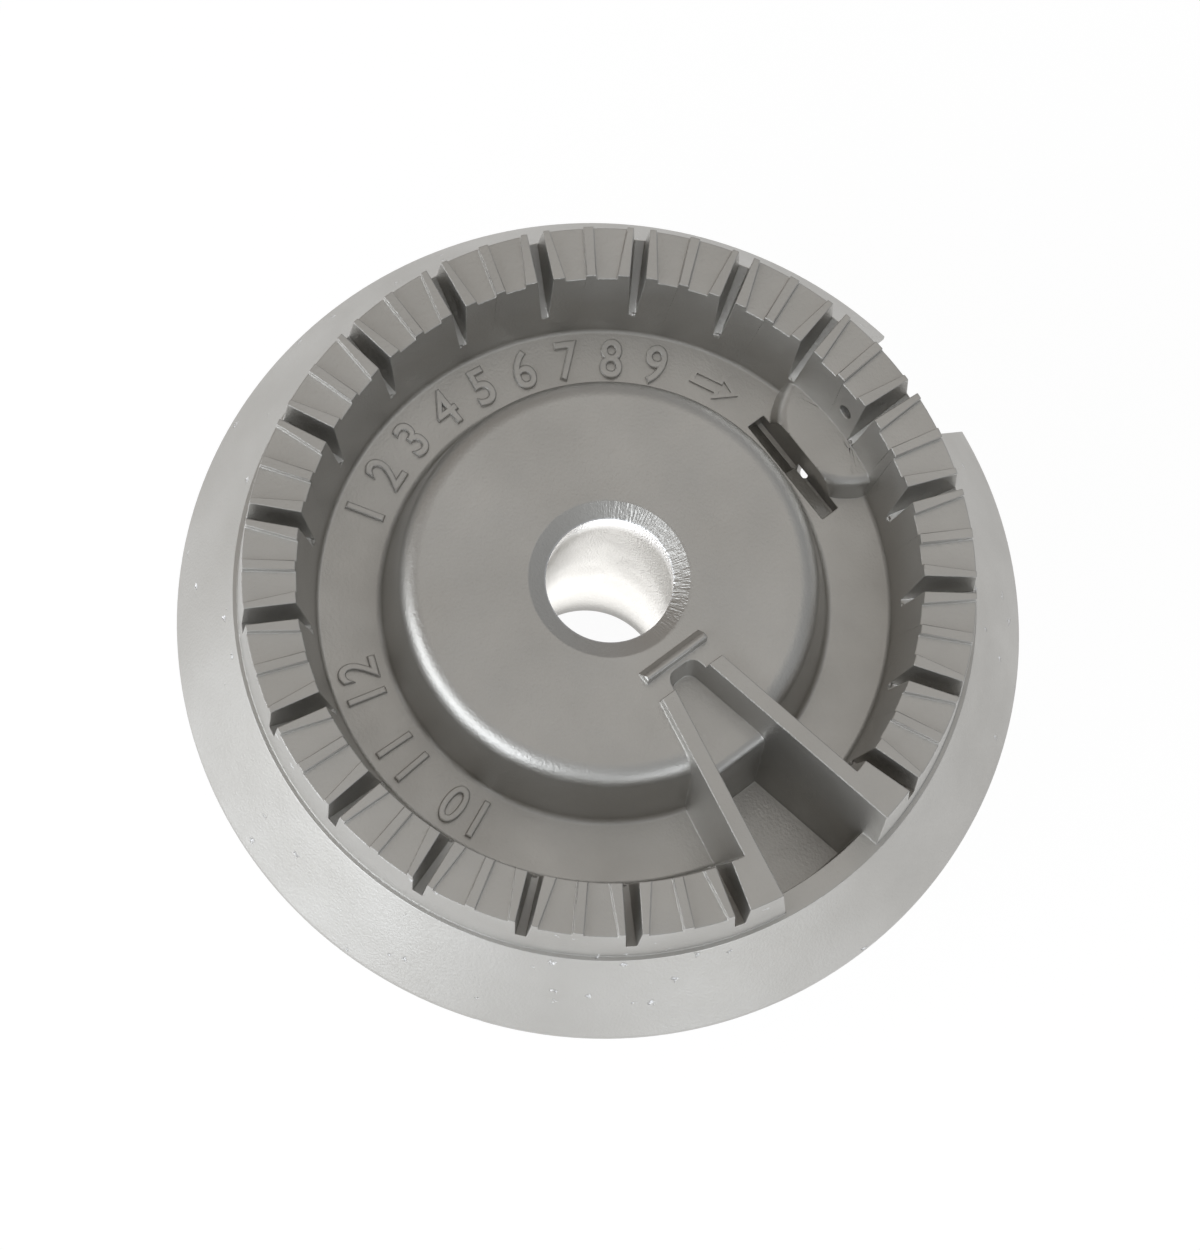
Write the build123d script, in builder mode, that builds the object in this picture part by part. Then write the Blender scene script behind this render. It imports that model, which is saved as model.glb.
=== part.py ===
from build123d import *
from math import asin, cos, degrees, radians, sin, tan
import os

# Gas burner head: one aluminium casting. A venturi tube stands on its foot at the
# origin, the flared skirt hangs round it, and the crown of flame ports rises above.
# The stability chamber lies along +X and the igniter port along +Y. Millimetres.

# Mixing tube
tube_drop = 30.0
spigot_radius = 12.5
spigot_length = 14.0
tube_root_radius = 13.6
socket_radius = 10.0
socket_length = 8.0
throat_radius = 8.1
lead_in_radius = 10.4
lead_in_depth = 1.1
foot_chamfer = 0.5

# Skirt, with heights above its rim
skirt_radius = 55.0
rim_land = 1.2
rim_thickness = 2.4
shoulder_radius = 47.7
shoulder_rise = 14.0
casting_wall = 2.6

# Crown of flame ports
crown_rise = 23.7
crown_foot_radius = 47.1
crown_outer_radius = 46.5
crown_inner_radius = 39.8
crown_inner_draft = 11.4
port_positions = 21
port_width = 2.05
port_draft = 3.4
port_depth_inside = 9.5
port_depth_outside = 5.5

# Two shallow recesses in the top of each tooth
recess_depth = 0.85
tooth_ridge = 1.35
tooth_land_inside = 1.7
tooth_land_outside = 0.7

# Gas moat and dome
moat_rise = 10.0
moat_corner = 1.0
dome_rise = 22.0
dome_foot_radius = 28.7
dome_top_radius = 26.4
dome_shoulder = 3.6
dome_foot_fillet = 1.4
inner_fillet = 2.0

# Stability chamber
chamber_start = 14.2
chamber_corner = 1.2
chamber_wall_start = 16.7
chamber_half_width = 2.7
chamber_half_angle = 10.8
chamber_draft = 6.0
chamber_wall = 2.1
chamber_wall_draft = 6.0
shelf_depth = 6.9
shelf_end = 26.8
well_end_radius = 45.7
well_floor_rise = 2.0
dam_start = 12.0
dam_width = 1.6
dam_length = 9.6
dam_draft = 9.0

# Igniter port
igniter_angle = 90.0
notch_width = 16.4
boss_centre_radius = 39.6
boss_radius = 8.8
boss_rise = 14.0
boss_draft = 12.0
boss_edge = 1.2
trench_start = 29.65
trench_end = 32.2
trench_length = 15.6
trench_shift = 0.25
trench_slit = 0.9
trench_depth = 3.0
ramp_top_depth = 0.3
gentle_ramp_depth = 0.9
steep_ramp_depth = 2.0
jet_diameter = 2.0
upper_jet_rise = 18.3
lower_jet_rise = 8.3
lower_jet_side = 1.0
lower_jet_slope = 70.0

# Heights above the tube's foot
rim_z = tube_drop
shoulder_z = rim_z + shoulder_rise
moat_z = rim_z + moat_rise
dome_z = rim_z + dome_rise
crown_z = rim_z + crown_rise
ceiling_z = moat_z - casting_wall
crown_ceiling_z = shoulder_z - casting_wall
dome_ceiling_z = dome_z - casting_wall
well_floor_z = rim_z + well_floor_rise
boss_z = rim_z + boss_rise
trench_z = moat_z - trench_depth

# Radii that follow from the slopes
crown_slope = tan(radians(crown_inner_draft))
moat_radius = crown_inner_radius - (crown_z - moat_z) * crown_slope
skirt_slope = (skirt_radius - shoulder_radius) / (shoulder_rise - rim_land)
skirt_inner_radius = skirt_radius - rim_thickness
crown_hollow_start = moat_radius + casting_wall
crown_hollow_end = skirt_inner_radius - (crown_ceiling_z - rim_z) * skirt_slope
hollow_foot_radius = dome_foot_radius - casting_wall
hollow_top_radius = dome_top_radius - casting_wall
crown_middle_radius = (crown_inner_radius + crown_outer_radius) / 2
pitch = 360.0 / port_positions
overlap = 1.0


def round_corner(profile, radius, height, size):
    """Round the corner of a section that lies nearest to a radius and height."""
    corner = profile.vertices().sort_by_distance((radius, 0, height))[0]
    fillet(corner, size)


# The casting's section, turned about its axis
with BuildPart() as turned_form:
    with BuildSketch(Plane.XZ) as section:
        with BuildLine():
            Polyline(
                (throat_radius, dome_z - lead_in_depth),
                (lead_in_radius, dome_z),
                (dome_top_radius, dome_z),
                (dome_foot_radius, moat_z),
                (moat_radius, moat_z),
                (crown_inner_radius, crown_z),
                (crown_outer_radius, crown_z),
                (crown_foot_radius, shoulder_z),
                (shoulder_radius, shoulder_z),
                (skirt_radius, rim_z + rim_land),
                (skirt_radius, rim_z),
                (skirt_inner_radius, rim_z),
                (crown_hollow_end, crown_ceiling_z),
                (crown_hollow_start, crown_ceiling_z),
                (crown_hollow_start, ceiling_z),
                (hollow_foot_radius, ceiling_z),
                (hollow_top_radius, dome_ceiling_z),
                (tube_root_radius, dome_ceiling_z),
                (spigot_radius, spigot_length),
                (spigot_radius, foot_chamfer),
                (spigot_radius - foot_chamfer, 0),
                (socket_radius, 0),
                (socket_radius, socket_length),
                close=True,
            )
        make_face()
        round_corner(section.sketch, dome_top_radius, dome_z, dome_shoulder)
        round_corner(section.sketch, dome_foot_radius, moat_z, dome_foot_fillet)
        round_corner(section.sketch, moat_radius, moat_z, moat_corner)
        round_corner(section.sketch, crown_hollow_end, crown_ceiling_z, inner_fillet)
        round_corner(section.sketch, hollow_top_radius, dome_ceiling_z, inner_fillet)
        round_corner(section.sketch, tube_root_radius, dome_ceiling_z, inner_fillet)
    revolve(axis=Axis.Z)


def chamber_outline(x_start, x_end, wall, drop=0.0):
    """The widening outline of the chamber, with a wall outside it, below the crown."""
    widening = tan(radians(chamber_half_angle))
    base = chamber_half_width + wall - drop * tan(radians(chamber_draft))
    near = base + (x_start - chamber_wall_start) * widening
    far = base + (x_end - chamber_wall_start) * widening
    return [(x_start, -near), (x_end, -far), (x_end, far), (x_start, near)]


# Two upright walls that shield the chamber, solid down to the casting's ceiling
with BuildPart() as chamber_walls:
    with BuildSketch(Plane.XY.offset(crown_z)):
        Polygon(*chamber_outline(chamber_wall_start, crown_middle_radius, chamber_wall), align=None)
    extrude(amount=crown_z - ceiling_z, dir=(0, 0, -1), taper=-chamber_wall_draft)

# The root of the shelf joins the walls to the tube under the shelf's inner end
root_end = chamber_wall_start + overlap
root_width = 2 * (chamber_half_width + chamber_wall)

with BuildPart() as shelf_root:
    with BuildSketch(Plane.XY.offset(ceiling_z)):
        with Locations(((spigot_radius + root_end) / 2, 0)):
            Rectangle(root_end - spigot_radius, root_width)
    extrude(amount=dome_z - overlap - ceiling_z)

# The box that hangs in the skirt and holds the chamber's deep well
box_top_z = shoulder_z - overlap
box_drop = crown_z - box_top_z
box_start = shelf_end - casting_wall
box_end = well_end_radius + casting_wall - box_drop * tan(radians(chamber_draft))

with BuildPart() as well_box:
    with BuildSketch(Plane.XY.offset(box_top_z)):
        Polygon(*chamber_outline(box_start, box_end, casting_wall, box_drop), align=None)
        Circle(box_end, mode=Mode.INTERSECT)
    extrude(amount=box_top_z - well_floor_z + casting_wall, dir=(0, 0, -1), taper=chamber_draft)

# The chamber's cavity: a shelf, a deep well behind the sill, and the open outlet
outlet_end = skirt_radius

with BuildPart() as chamber_cavity:
    with BuildSketch(Plane.XY.offset(crown_z)) as shelf_outline:
        Polygon(*chamber_outline(chamber_start, outlet_end, 0), align=None)
        fillet(shelf_outline.vertices().group_by(Axis.X)[0], chamber_corner)
    extrude(amount=shelf_depth, dir=(0, 0, -1), taper=chamber_draft)
    with BuildSketch(Plane.XY.offset(crown_z)):
        Polygon(*chamber_outline(shelf_end, outlet_end, 0), align=None)
        Circle(well_end_radius, mode=Mode.INTERSECT)
    extrude(amount=crown_z - well_floor_z, dir=(0, 0, -1), taper=chamber_draft)
    with BuildSketch(Plane.XY.offset(crown_z)):
        Polygon(*chamber_outline(crown_inner_radius, outlet_end, 0), align=None)
    extrude(amount=crown_z - shoulder_z, dir=(0, 0, -1), taper=chamber_draft)

# The dam stands between the chamber and the mouth of the tube
with BuildPart() as dam:
    with BuildSketch(Plane.XY.offset(crown_z)):
        with Locations((dam_start + dam_width / 2, 0)):
            Rectangle(dam_width, dam_length)
    extrude(amount=crown_z - dome_z + overlap, dir=(0, 0, -1), taper=-dam_draft)

# One flame port: its sides draw in downwards and its floor rises outwards
port_start_radius = crown_inner_radius - port_depth_inside * crown_slope
port_run = crown_outer_radius - port_start_radius
port_rise = port_depth_inside - port_depth_outside
port_length = port_run + 4 * overlap
port_floor = Plane(
    origin=(port_start_radius, 0, crown_z - port_depth_inside),
    x_dir=(0, 1, 0),
    z_dir=(-port_rise, 0, port_run),
)

with BuildPart() as flame_port:
    with BuildSketch(Plane.XY.offset(crown_z)):
        with Locations((port_start_radius - overlap + port_length / 2, 0)):
            Rectangle(port_length, port_width)
    extrude(amount=port_depth_inside + overlap, dir=(0, 0, -1), taper=port_draft)
    split(bisect_by=port_floor, keep=Keep.TOP)


def tooth_point(radius, side, land):
    """A point on a tooth's top, a land's width in from the port beside it."""
    edge_angle = pitch / 2 - degrees(asin((port_width / 2 + land) / radius))
    angle = radians(edge_angle)
    return (radius * cos(angle), side * radius * sin(angle))


def recess_outline(side):
    """The outline of the recess on one side of a tooth's middle ridge."""
    start = crown_inner_radius - overlap
    end = crown_foot_radius + overlap
    return [
        (start, side * tooth_ridge / 2),
        (end, side * tooth_ridge / 2),
        tooth_point(end, side, tooth_land_outside),
        tooth_point(start, side, tooth_land_inside),
    ]


with BuildPart() as tooth_recesses:
    with BuildSketch(Plane.XY.offset(crown_z - recess_depth)):
        for side in (-1, 1):
            Polygon(*recess_outline(side), align=None)
    extrude(amount=2 * recess_depth)

# The igniter port, in a plane through its own direction: radius across, height up
igniter_direction = radians(igniter_angle)
igniter_plane = Plane(
    origin=(0, 0, 0),
    x_dir=(cos(igniter_direction), sin(igniter_direction), 0),
    z_dir=(sin(igniter_direction), -cos(igniter_direction), 0),
)
igniter_top = Plane(origin=(0, 0, 0), x_dir=igniter_plane.x_dir, z_dir=(0, 0, 1))
slit_start = trench_end - trench_slit
upper_jet_z = rim_z + upper_jet_rise
lower_jet_z = rim_z + lower_jet_rise

with BuildPart() as igniter_boss:
    with BuildSketch(igniter_top.offset(boss_z)):
        with Locations((boss_centre_radius, 0)):
            Circle(boss_radius)
        Circle(crown_middle_radius, mode=Mode.INTERSECT)
    extrude(amount=boss_z - moat_z + overlap, dir=(0, 0, -1), taper=-boss_draft)
    boss_top = igniter_boss.edges().group_by(Axis.Z)[-1]
    fillet(boss_top.sort_by_distance((0, 0, boss_z))[0], boss_edge)

# A pad under the moat leaves a wall round the trench and the lower jet
pad_start = trench_start - casting_wall
pad_end = trench_end + 2 * casting_wall
pad_z = trench_z - casting_wall

with BuildPart() as igniter_pad:
    with BuildSketch(igniter_top.offset(pad_z)):
        with Locations(((pad_start + pad_end) / 2, -trench_shift)):
            Rectangle(pad_end - pad_start, trench_length + 2 * casting_wall)
    extrude(amount=ceiling_z + overlap - pad_z)

with BuildPart() as igniter_cavity:
    with BuildSketch(igniter_plane.offset(trench_shift)):
        Polygon(
            (slit_start, boss_z + overlap),
            (trench_end, boss_z + overlap),
            (trench_end, trench_z),
            (slit_start, trench_z),
            align=None,
        )
    extrude(amount=trench_length / 2, both=True)
    with BuildSketch(igniter_plane.offset(trench_shift)):
        Polygon(
            (trench_start, boss_z),
            (trench_end, boss_z),
            (trench_end, moat_z - gentle_ramp_depth),
            (slit_start, moat_z - gentle_ramp_depth),
            (trench_start, moat_z - ramp_top_depth),
            align=None,
        )
    extrude(amount=trench_length / 2)
    with BuildSketch(igniter_plane.offset(trench_shift)):
        Polygon(
            (trench_start, boss_z),
            (trench_end, boss_z),
            (trench_end, moat_z - steep_ramp_depth),
            (slit_start, moat_z - steep_ramp_depth),
            (trench_start, moat_z - ramp_top_depth),
            align=None,
        )
    extrude(amount=-trench_length / 2)

# Two drilled jets serve the electrode, which stands in a notch through the skirt: the
# upper one runs straight out and the lower one slopes down from the trench
radial = igniter_plane.x_dir
tangent = igniter_plane.z_dir
down_slope = radial * cos(radians(lower_jet_slope)) - Vector(0, 0, sin(radians(lower_jet_slope)))
upper_jet_start = radial * port_start_radius + Vector(0, 0, upper_jet_z)
lower_jet_start = radial * trench_end + tangent * lower_jet_side + Vector(0, 0, lower_jet_z)

with BuildPart() as jets:
    with BuildSketch(Plane(upper_jet_start, tangent, radial)):
        Circle(jet_diameter / 2)
    extrude(amount=crown_foot_radius + overlap - port_start_radius)
    with BuildSketch(Plane(lower_jet_start, tangent, down_slope)):
        Circle(jet_diameter / 2)
    extrude(amount=lower_jet_z - pad_z + 2 * overlap)

with BuildPart() as skirt_notch:
    with BuildSketch(igniter_top.offset(rim_z - overlap)):
        with Locations((skirt_radius, 0)):
            Rectangle(skirt_radius, notch_width)
        Circle(crown_foot_radius, mode=Mode.SUBTRACT)
    extrude(amount=shoulder_rise + 2 * overlap)

# The whole casting
with BuildPart() as burner_head:
    add(turned_form.part)
    add(chamber_walls.part)
    add(shelf_root.part)
    add(well_box.part)
    add(dam.part)
    add(igniter_boss.part)
    add(igniter_pad.part)
    add(chamber_cavity.part, mode=Mode.SUBTRACT)
    add(igniter_cavity.part, mode=Mode.SUBTRACT)
    add(jets.part, mode=Mode.SUBTRACT)
    add(skirt_notch.part, mode=Mode.SUBTRACT)
    with PolarLocations(0, port_positions - 1, pitch, (port_positions - 1) * pitch):
        add(flame_port.part, mode=Mode.SUBTRACT)
    with PolarLocations(0, port_positions - 2, 1.5 * pitch, (port_positions - 2) * pitch):
        add(tooth_recesses.part, mode=Mode.SUBTRACT)

burner_head.part.label = "burner_head"

os.makedirs("parts", exist_ok=True)
export_step(burner_head.part, "parts/burner_head.step")
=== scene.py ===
from math import asin, cos, pi, radians, sin, tan
from random import Random

import bpy
from mathutils import Matrix, Vector


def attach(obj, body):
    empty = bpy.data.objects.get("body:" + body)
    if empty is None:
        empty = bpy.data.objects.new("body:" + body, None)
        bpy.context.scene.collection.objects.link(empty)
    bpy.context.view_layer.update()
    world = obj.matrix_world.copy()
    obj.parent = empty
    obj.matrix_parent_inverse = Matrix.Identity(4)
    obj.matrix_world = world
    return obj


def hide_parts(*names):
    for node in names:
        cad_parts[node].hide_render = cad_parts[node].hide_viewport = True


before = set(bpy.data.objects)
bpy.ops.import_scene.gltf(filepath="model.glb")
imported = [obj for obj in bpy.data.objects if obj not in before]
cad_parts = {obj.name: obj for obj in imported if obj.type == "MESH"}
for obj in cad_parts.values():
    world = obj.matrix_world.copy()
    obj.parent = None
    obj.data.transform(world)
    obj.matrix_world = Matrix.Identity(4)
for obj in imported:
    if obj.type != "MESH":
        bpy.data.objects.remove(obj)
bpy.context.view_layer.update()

# The casting is modelled in millimetres, with its foot on the origin and +Z up,
# and brought to metres when it is finished.
TO_METRES = 0.001

# Mixing tube
TUBE_DROP = 30.0
SPIGOT_RADIUS = 12.5
SPIGOT_LENGTH = 14.0
TUBE_ROOT_RADIUS = 13.6
SOCKET_RADIUS = 10.0
SOCKET_LENGTH = 8.0
THROAT_RADIUS = 8.1
LEAD_IN_RADIUS = 10.4
LEAD_IN_DEPTH = 1.1
FOOT_CHAMFER = 0.5

# Skirt, with heights above its rim
SKIRT_RADIUS = 55.0
RIM_LAND = 1.2
RIM_THICKNESS = 2.4
SHOULDER_RADIUS = 47.7
SHOULDER_RISE = 14.0
CASTING_WALL = 2.6

# Crown of flame ports
CROWN_RISE = 23.7
CROWN_FOOT_RADIUS = 47.1
CROWN_OUTER_RADIUS = 46.5
CROWN_INNER_RADIUS = 39.8
CROWN_INNER_SLOPE = tan(radians(11.4))
PORT_POSITIONS = 21
PORT_WIDTH = 2.05
PORT_SLOPE = tan(radians(3.4))
PORT_DEPTH_INSIDE = 9.5
PORT_DEPTH_OUTSIDE = 5.5
RECESS_DEPTH = 0.85
TOOTH_RIDGE = 1.35
TOOTH_LAND_INSIDE = 1.7
TOOTH_LAND_OUTSIDE = 0.7

# Lumps of metal at the ports' inner feet
BURR_SIZE = 0.55
BURR_LEAST = 0.6
BURR_ASIDE = 0.35
BURR_THICKNESS = 0.6
BURR_WIDTH = 0.9
BURR_HEIGHTS = (0.7, 1.3)
BURR_SEED = 5

# Gas moat and dome
MOAT_RISE = 10.0
MOAT_CORNER = 1.0
DOME_RISE = 22.0
DOME_FOOT_RADIUS = 28.7
DOME_TOP_RADIUS = 26.4
DOME_SHOULDER = 4.4
DOME_FOOT_FILLET = 1.4
INNER_FILLET = 2.0

# Stability chamber
CHAMBER_START = 14.2
CHAMBER_CORNER = 1.2
CHAMBER_WALL_START = 16.7
CHAMBER_HALF_WIDTH = 2.7
CHAMBER_HALF_ANGLE = radians(10.8)
CHAMBER_WIDENING = tan(CHAMBER_HALF_ANGLE)
CHAMBER_SLOPE = tan(radians(6.0))
CHAMBER_WALL = 2.1
CHAMBER_WALL_SLOPE = tan(radians(6.0))
SHELF_DEPTH = 6.9
SHELF_END = 26.8
SHELF_EDGE = 1.3
SHELF_EDGE_X = SHELF_END + SHELF_DEPTH * CHAMBER_SLOPE
WELL_END_RADIUS = 45.7
WELL_FLOOR_RISE = 2.0
DAM_START = 12.2
DAM_WIDTH = 1.6
DAM_LENGTH = 9.6
DAM_RUN_OUT = 0.7
DAM_EDGE = 0.35

# Igniter port, along +Y
NOTCH_WIDTH = 16.4
BOSS_CENTRE_RADIUS = 39.6
BOSS_RADIUS = 8.8
BOSS_RISE = 14.0
BOSS_SLOPE = tan(radians(12.0))
BOSS_EDGE = 1.2
TRENCH_START = 29.65
TRENCH_END = 32.2
TRENCH_LENGTH = 15.6
TRENCH_SHIFT = 0.25
TRENCH_SLIT = 0.9
TRENCH_DEPTH = 3.0
RAMP_TOP_DEPTH = 0.3
GENTLE_RAMP_DEPTH = 0.9
STEEP_RAMP_DEPTH = 2.0
JET_DIAMETER = 2.0
UPPER_JET_RISE = 18.3
LOWER_JET_RISE = 8.3
LOWER_JET_SIDE = 1.0
LOWER_JET_SLOPE = radians(70)

# How far cutters and joined blocks reach past the faces they meet
OVERLAP = 1.0

# Heights above the tube's foot
RIM_Z = TUBE_DROP
SHOULDER_Z = RIM_Z + SHOULDER_RISE
MOAT_Z = RIM_Z + MOAT_RISE
DOME_Z = RIM_Z + DOME_RISE
CROWN_Z = RIM_Z + CROWN_RISE
CEILING_Z = MOAT_Z - CASTING_WALL
CROWN_CEILING_Z = SHOULDER_Z - CASTING_WALL
DOME_CEILING_Z = DOME_Z - CASTING_WALL
WELL_FLOOR_Z = RIM_Z + WELL_FLOOR_RISE
BOSS_Z = RIM_Z + BOSS_RISE
TRENCH_Z = MOAT_Z - TRENCH_DEPTH
PAD_Z = TRENCH_Z - CASTING_WALL
BOX_TOP_Z = SHOULDER_Z - OVERLAP

# Radii that follow from the slopes
MOAT_RADIUS = CROWN_INNER_RADIUS - (CROWN_Z - MOAT_Z) * CROWN_INNER_SLOPE
SKIRT_SLOPE = (SKIRT_RADIUS - SHOULDER_RADIUS) / (SHOULDER_RISE - RIM_LAND)
SKIRT_INNER_RADIUS = SKIRT_RADIUS - RIM_THICKNESS
CROWN_HOLLOW_START = MOAT_RADIUS + CASTING_WALL
CROWN_HOLLOW_END = SKIRT_INNER_RADIUS - (CROWN_CEILING_Z - RIM_Z) * SKIRT_SLOPE
PORT_START_RADIUS = CROWN_INNER_RADIUS - PORT_DEPTH_INSIDE * CROWN_INNER_SLOPE
CROWN_MIDDLE_RADIUS = (CROWN_INNER_RADIUS + CROWN_OUTER_RADIUS) / 2
PITCH = 2 * pi / PORT_POSITIONS

# How finely the forms are turned and how far their edges are eased
TURNING_STEPS = 10 * PORT_POSITIONS
ARC_STEPS = 6
JET_STEPS = 24
EDGE_EASE = 0.12
EDGE_STEPS = 2
SLIVER = 0.04
SAME_PLACE = 1e-4
LONG_EDGE = 1.0
SHARP_EDGE = radians(20)

# Raised figures on the moat floor, read clockwise with their tops outwards
FIGURE_FOOT = 30.55
FIGURE_SIZE = 7.2
FIGURE_NARROWING = 0.85
FIGURE_THINNING = -0.06
FIGURE_RISE = 0.65
FIGURE_EDGE = 0.24
LONG_ARC = (211.5, 130.5)
SHORT_ARC = (293.0, 249.0)
ARROW_ANGLE = 116.2
ARROW_RADIUS = 33.0
ARROW_HALF_LENGTH = 3.3
ARROW_HALF_SHAFT = 0.95
ARROW_HALF_HEAD = 1.9
ARROW_HEAD_START = ARROW_HALF_LENGTH / 10
ARROW_LINE = 0.5

# The view of the photograph, in millimetres and degrees
VIEW_ELEVATION = 74.36
VIEW_TURN = 320.52
VIEW_ROLL = 13.16
VIEW_DISTANCE = 668.6
VIEW_LENS = 147.45
VIEW_ASIDE = -0.07
VIEW_ABOVE = 0.17

VIEW_NEAREST = 0.01

# Floor and world, the world a little brown at the photograph's left
FLOOR_SIZE = 4
FLOOR_GREY = (0.82, 0.82, 0.82, 1)
FLOOR_ROUGHNESS = 0.9
GLOW_STRENGTH = 1.06
FLOOR_GLOW = 0.9
MIRRORED_GLOW = 0.6
WORLD_LIGHT = 0.38
BROWN_SIDE = (0.72, 0.64, 0.56, 1)
CLEAR_SIDE = (0.96, 0.98, 1, 1)
CLEAR_START = 0.2
BACKDROP_WHITE = (1, 1, 1, 1)

# Lamps, in watts
KEY_POWER = 4.7
FILL_POWER = 0.6
OVERHEAD_POWER = 0.74
BORE_POWER = 0.0012
COOL_LIGHT = (0.9, 0.95, 1)
WARM_LIGHT = (1, 0.94, 0.85)

# Cast aluminium: scales in cells per metre, depths and radii in millimetres
DARK_METAL = (0.575, 0.562, 0.537, 1)
PALE_METAL = (0.625, 0.614, 0.592, 1)
# Fresh metal in the nicks and the machined bore; in the bore this pale colour is partly painted light
BRIGHT_METAL = (0.85, 0.85, 0.86, 1)
CLOUD_SCALE = 55
CLOUD_SPAN = (0.35, 0.65)
CAST_ROUGHNESS = 0.45
BORE_ROUGHNESS = 0.2
BORE_MARGIN = 0.25
STREAK_SCALE = 140
STREAK_SPREAD = 0.09
GRAIN_SCALE = 2600
GRAIN_STRENGTH = 0.5
GRAIN_DEPTH = 0.1
WAVE_SCALE = 260
WAVE_STRENGTH = 0.2
WAVE_DEPTH = 0.2
NICK_SCALE = 230
NICK_SPAN = (0.04, 0.11)
NICK_SHELTER = 0.1
NICK_STRENGTH = 0.8
NICK_DEPTH = 0.3
SHAKE_SCALE = 1500
SHAKE_WIDTH = 1.6
MARKS_ROUND = 34
MARKS_DOWN = 1400
MARKED_WAY = (0.6, 0.8)
MARKED_SPAN = (-1, 7)
MARK_STRENGTH = 0.55
MARK_DEPTH = 0.3
MASK_EDGE = 0.2


def release_all():
    """Leave edit mode and let go of every object."""
    if bpy.context.object and bpy.context.object.mode == "EDIT":
        bpy.ops.object.mode_set(mode="OBJECT")
    bpy.ops.object.select_all(action="DESELECT")


def hold(piece):
    """Make one object the active and only selected one."""
    release_all()
    bpy.context.view_layer.objects.active = piece
    piece.select_set(True)


def start_wire(name, points):
    """A new object in edit mode, holding one open chain of edges through points."""
    release_all()
    bpy.ops.mesh.primitive_plane_add(size=1, location=(0, 0, 0))
    piece = bpy.context.object
    piece.name = name
    bpy.ops.object.mode_set(mode="EDIT")
    bpy.ops.mesh.select_mode(type="VERT")
    bpy.ops.mesh.select_all(action="SELECT")
    bpy.ops.mesh.merge(type="CENTER")
    bpy.ops.transform.translate(value=points[0])
    extend_wire(points)
    return piece


def extend_wire(points):
    """Draw edges from the selected vertex, at the first point, through the others."""
    for here, there in zip(points, points[1:]):
        step = Vector(there) - Vector(here)
        bpy.ops.mesh.extrude_vertices_move(TRANSFORM_OT_translate={"value": step})


def start_ring(name, corners):
    """A new object in edit mode, holding one closed face through its corners."""
    piece = start_wire(name, corners + corners[:1])
    bpy.ops.mesh.select_all(action="SELECT")
    bpy.ops.mesh.remove_doubles(threshold=SAME_PLACE)
    bpy.ops.mesh.edge_face_add()
    return piece


def prism(name, first, second):
    """A closed solid bridged between two faces that have like corners."""
    start = start_ring(name, first)
    end = start_ring(name + "_end", second)
    hold(end)
    start.select_set(True)
    bpy.context.view_layer.objects.active = start
    bpy.ops.object.join()
    bpy.ops.object.mode_set(mode="EDIT")
    bpy.ops.mesh.select_all(action="SELECT")
    bpy.ops.mesh.bridge_edge_loops()
    bpy.ops.mesh.select_all(action="SELECT")
    bpy.ops.mesh.normals_make_consistent(inside=False)
    bpy.ops.object.mode_set(mode="OBJECT")
    return start


def grown(outline, distance):
    """An anticlockwise outline with each of its sides moved outwards."""
    sides = []
    for here, there in zip(outline, outline[1:] + outline[:1]):
        along = (Vector(there) - Vector(here)).normalized()
        outward = Vector((along.y, -along.x))
        sides.append((Vector(here) + outward * distance, along))
    corners = []
    for (near, along), (far, across) in zip(sides[-1:] + sides[:-1], sides):
        reach = (far - near).cross(across) / along.cross(across)
        corners.append(tuple(near + along * reach))
    return corners


def block(name, outline, outline_z, slope, low_z, high_z):
    """An upright solid on an outline at one height, which widens upwards by a slope."""
    ends = []
    for z in (low_z, high_z):
        ring = grown(outline, (z - outline_z) * slope)
        ends.append([(x, y, z) for x, y in ring])
    return prism(name, ends[0], ends[1])


def rectangle(x_low, x_high, y_low, y_high):
    """The corners of a rectangle, anticlockwise."""
    return [(x_low, y_low), (x_high, y_low), (x_high, y_high), (x_low, y_high)]


def select_nearest(piece, place):
    """Select the one vertex of the piece in edit mode that lies nearest to a place."""
    bpy.ops.mesh.select_all(action="DESELECT")
    bpy.ops.object.mode_set(mode="OBJECT")
    nearest = min(piece.data.vertices, key=lambda v: (v.co - Vector(place)).length)
    nearest.select = True
    bpy.ops.object.mode_set(mode="EDIT")
    bpy.ops.mesh.select_mode(type="VERT")


def round_corner(piece, before, corner, after, radius):
    """Turn one corner of a chain of edges into an arc of the given radius."""
    turn = (Vector(corner) - Vector(before)).angle(Vector(after) - Vector(corner))
    select_nearest(piece, corner)
    bpy.ops.mesh.bevel(
        offset=radius * tan(turn / 2), offset_type="WIDTH", segments=ARC_STEPS, affect="VERTICES"
    )


def turn_about_axis():
    """Spin the profile in edit mode about +Z into a closed solid."""
    bpy.ops.mesh.select_all(action="SELECT")
    bpy.ops.transform.rotate(value=pi / TURNING_STEPS, orient_axis="Z", center_override=(0, 0, 0))
    bpy.ops.mesh.spin(steps=TURNING_STEPS, angle=2 * pi, center=(0, 0, 0), axis=(0, 0, 1))
    bpy.ops.mesh.select_all(action="SELECT")
    bpy.ops.mesh.remove_doubles(threshold=SAME_PLACE)
    bpy.ops.mesh.normals_make_consistent(inside=False)
    bpy.ops.object.mode_set(mode="OBJECT")


def turned(name, section, centre=(0, 0)):
    """A round solid from its section of radius and height, stood on a centre."""
    piece = start_wire(name, [(radius, 0, z) for radius, z in section])
    turn_about_axis()
    bpy.ops.object.mode_set(mode="EDIT")
    bpy.ops.transform.translate(value=(centre[0], centre[1], 0))
    bpy.ops.object.mode_set(mode="OBJECT")
    return piece


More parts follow.
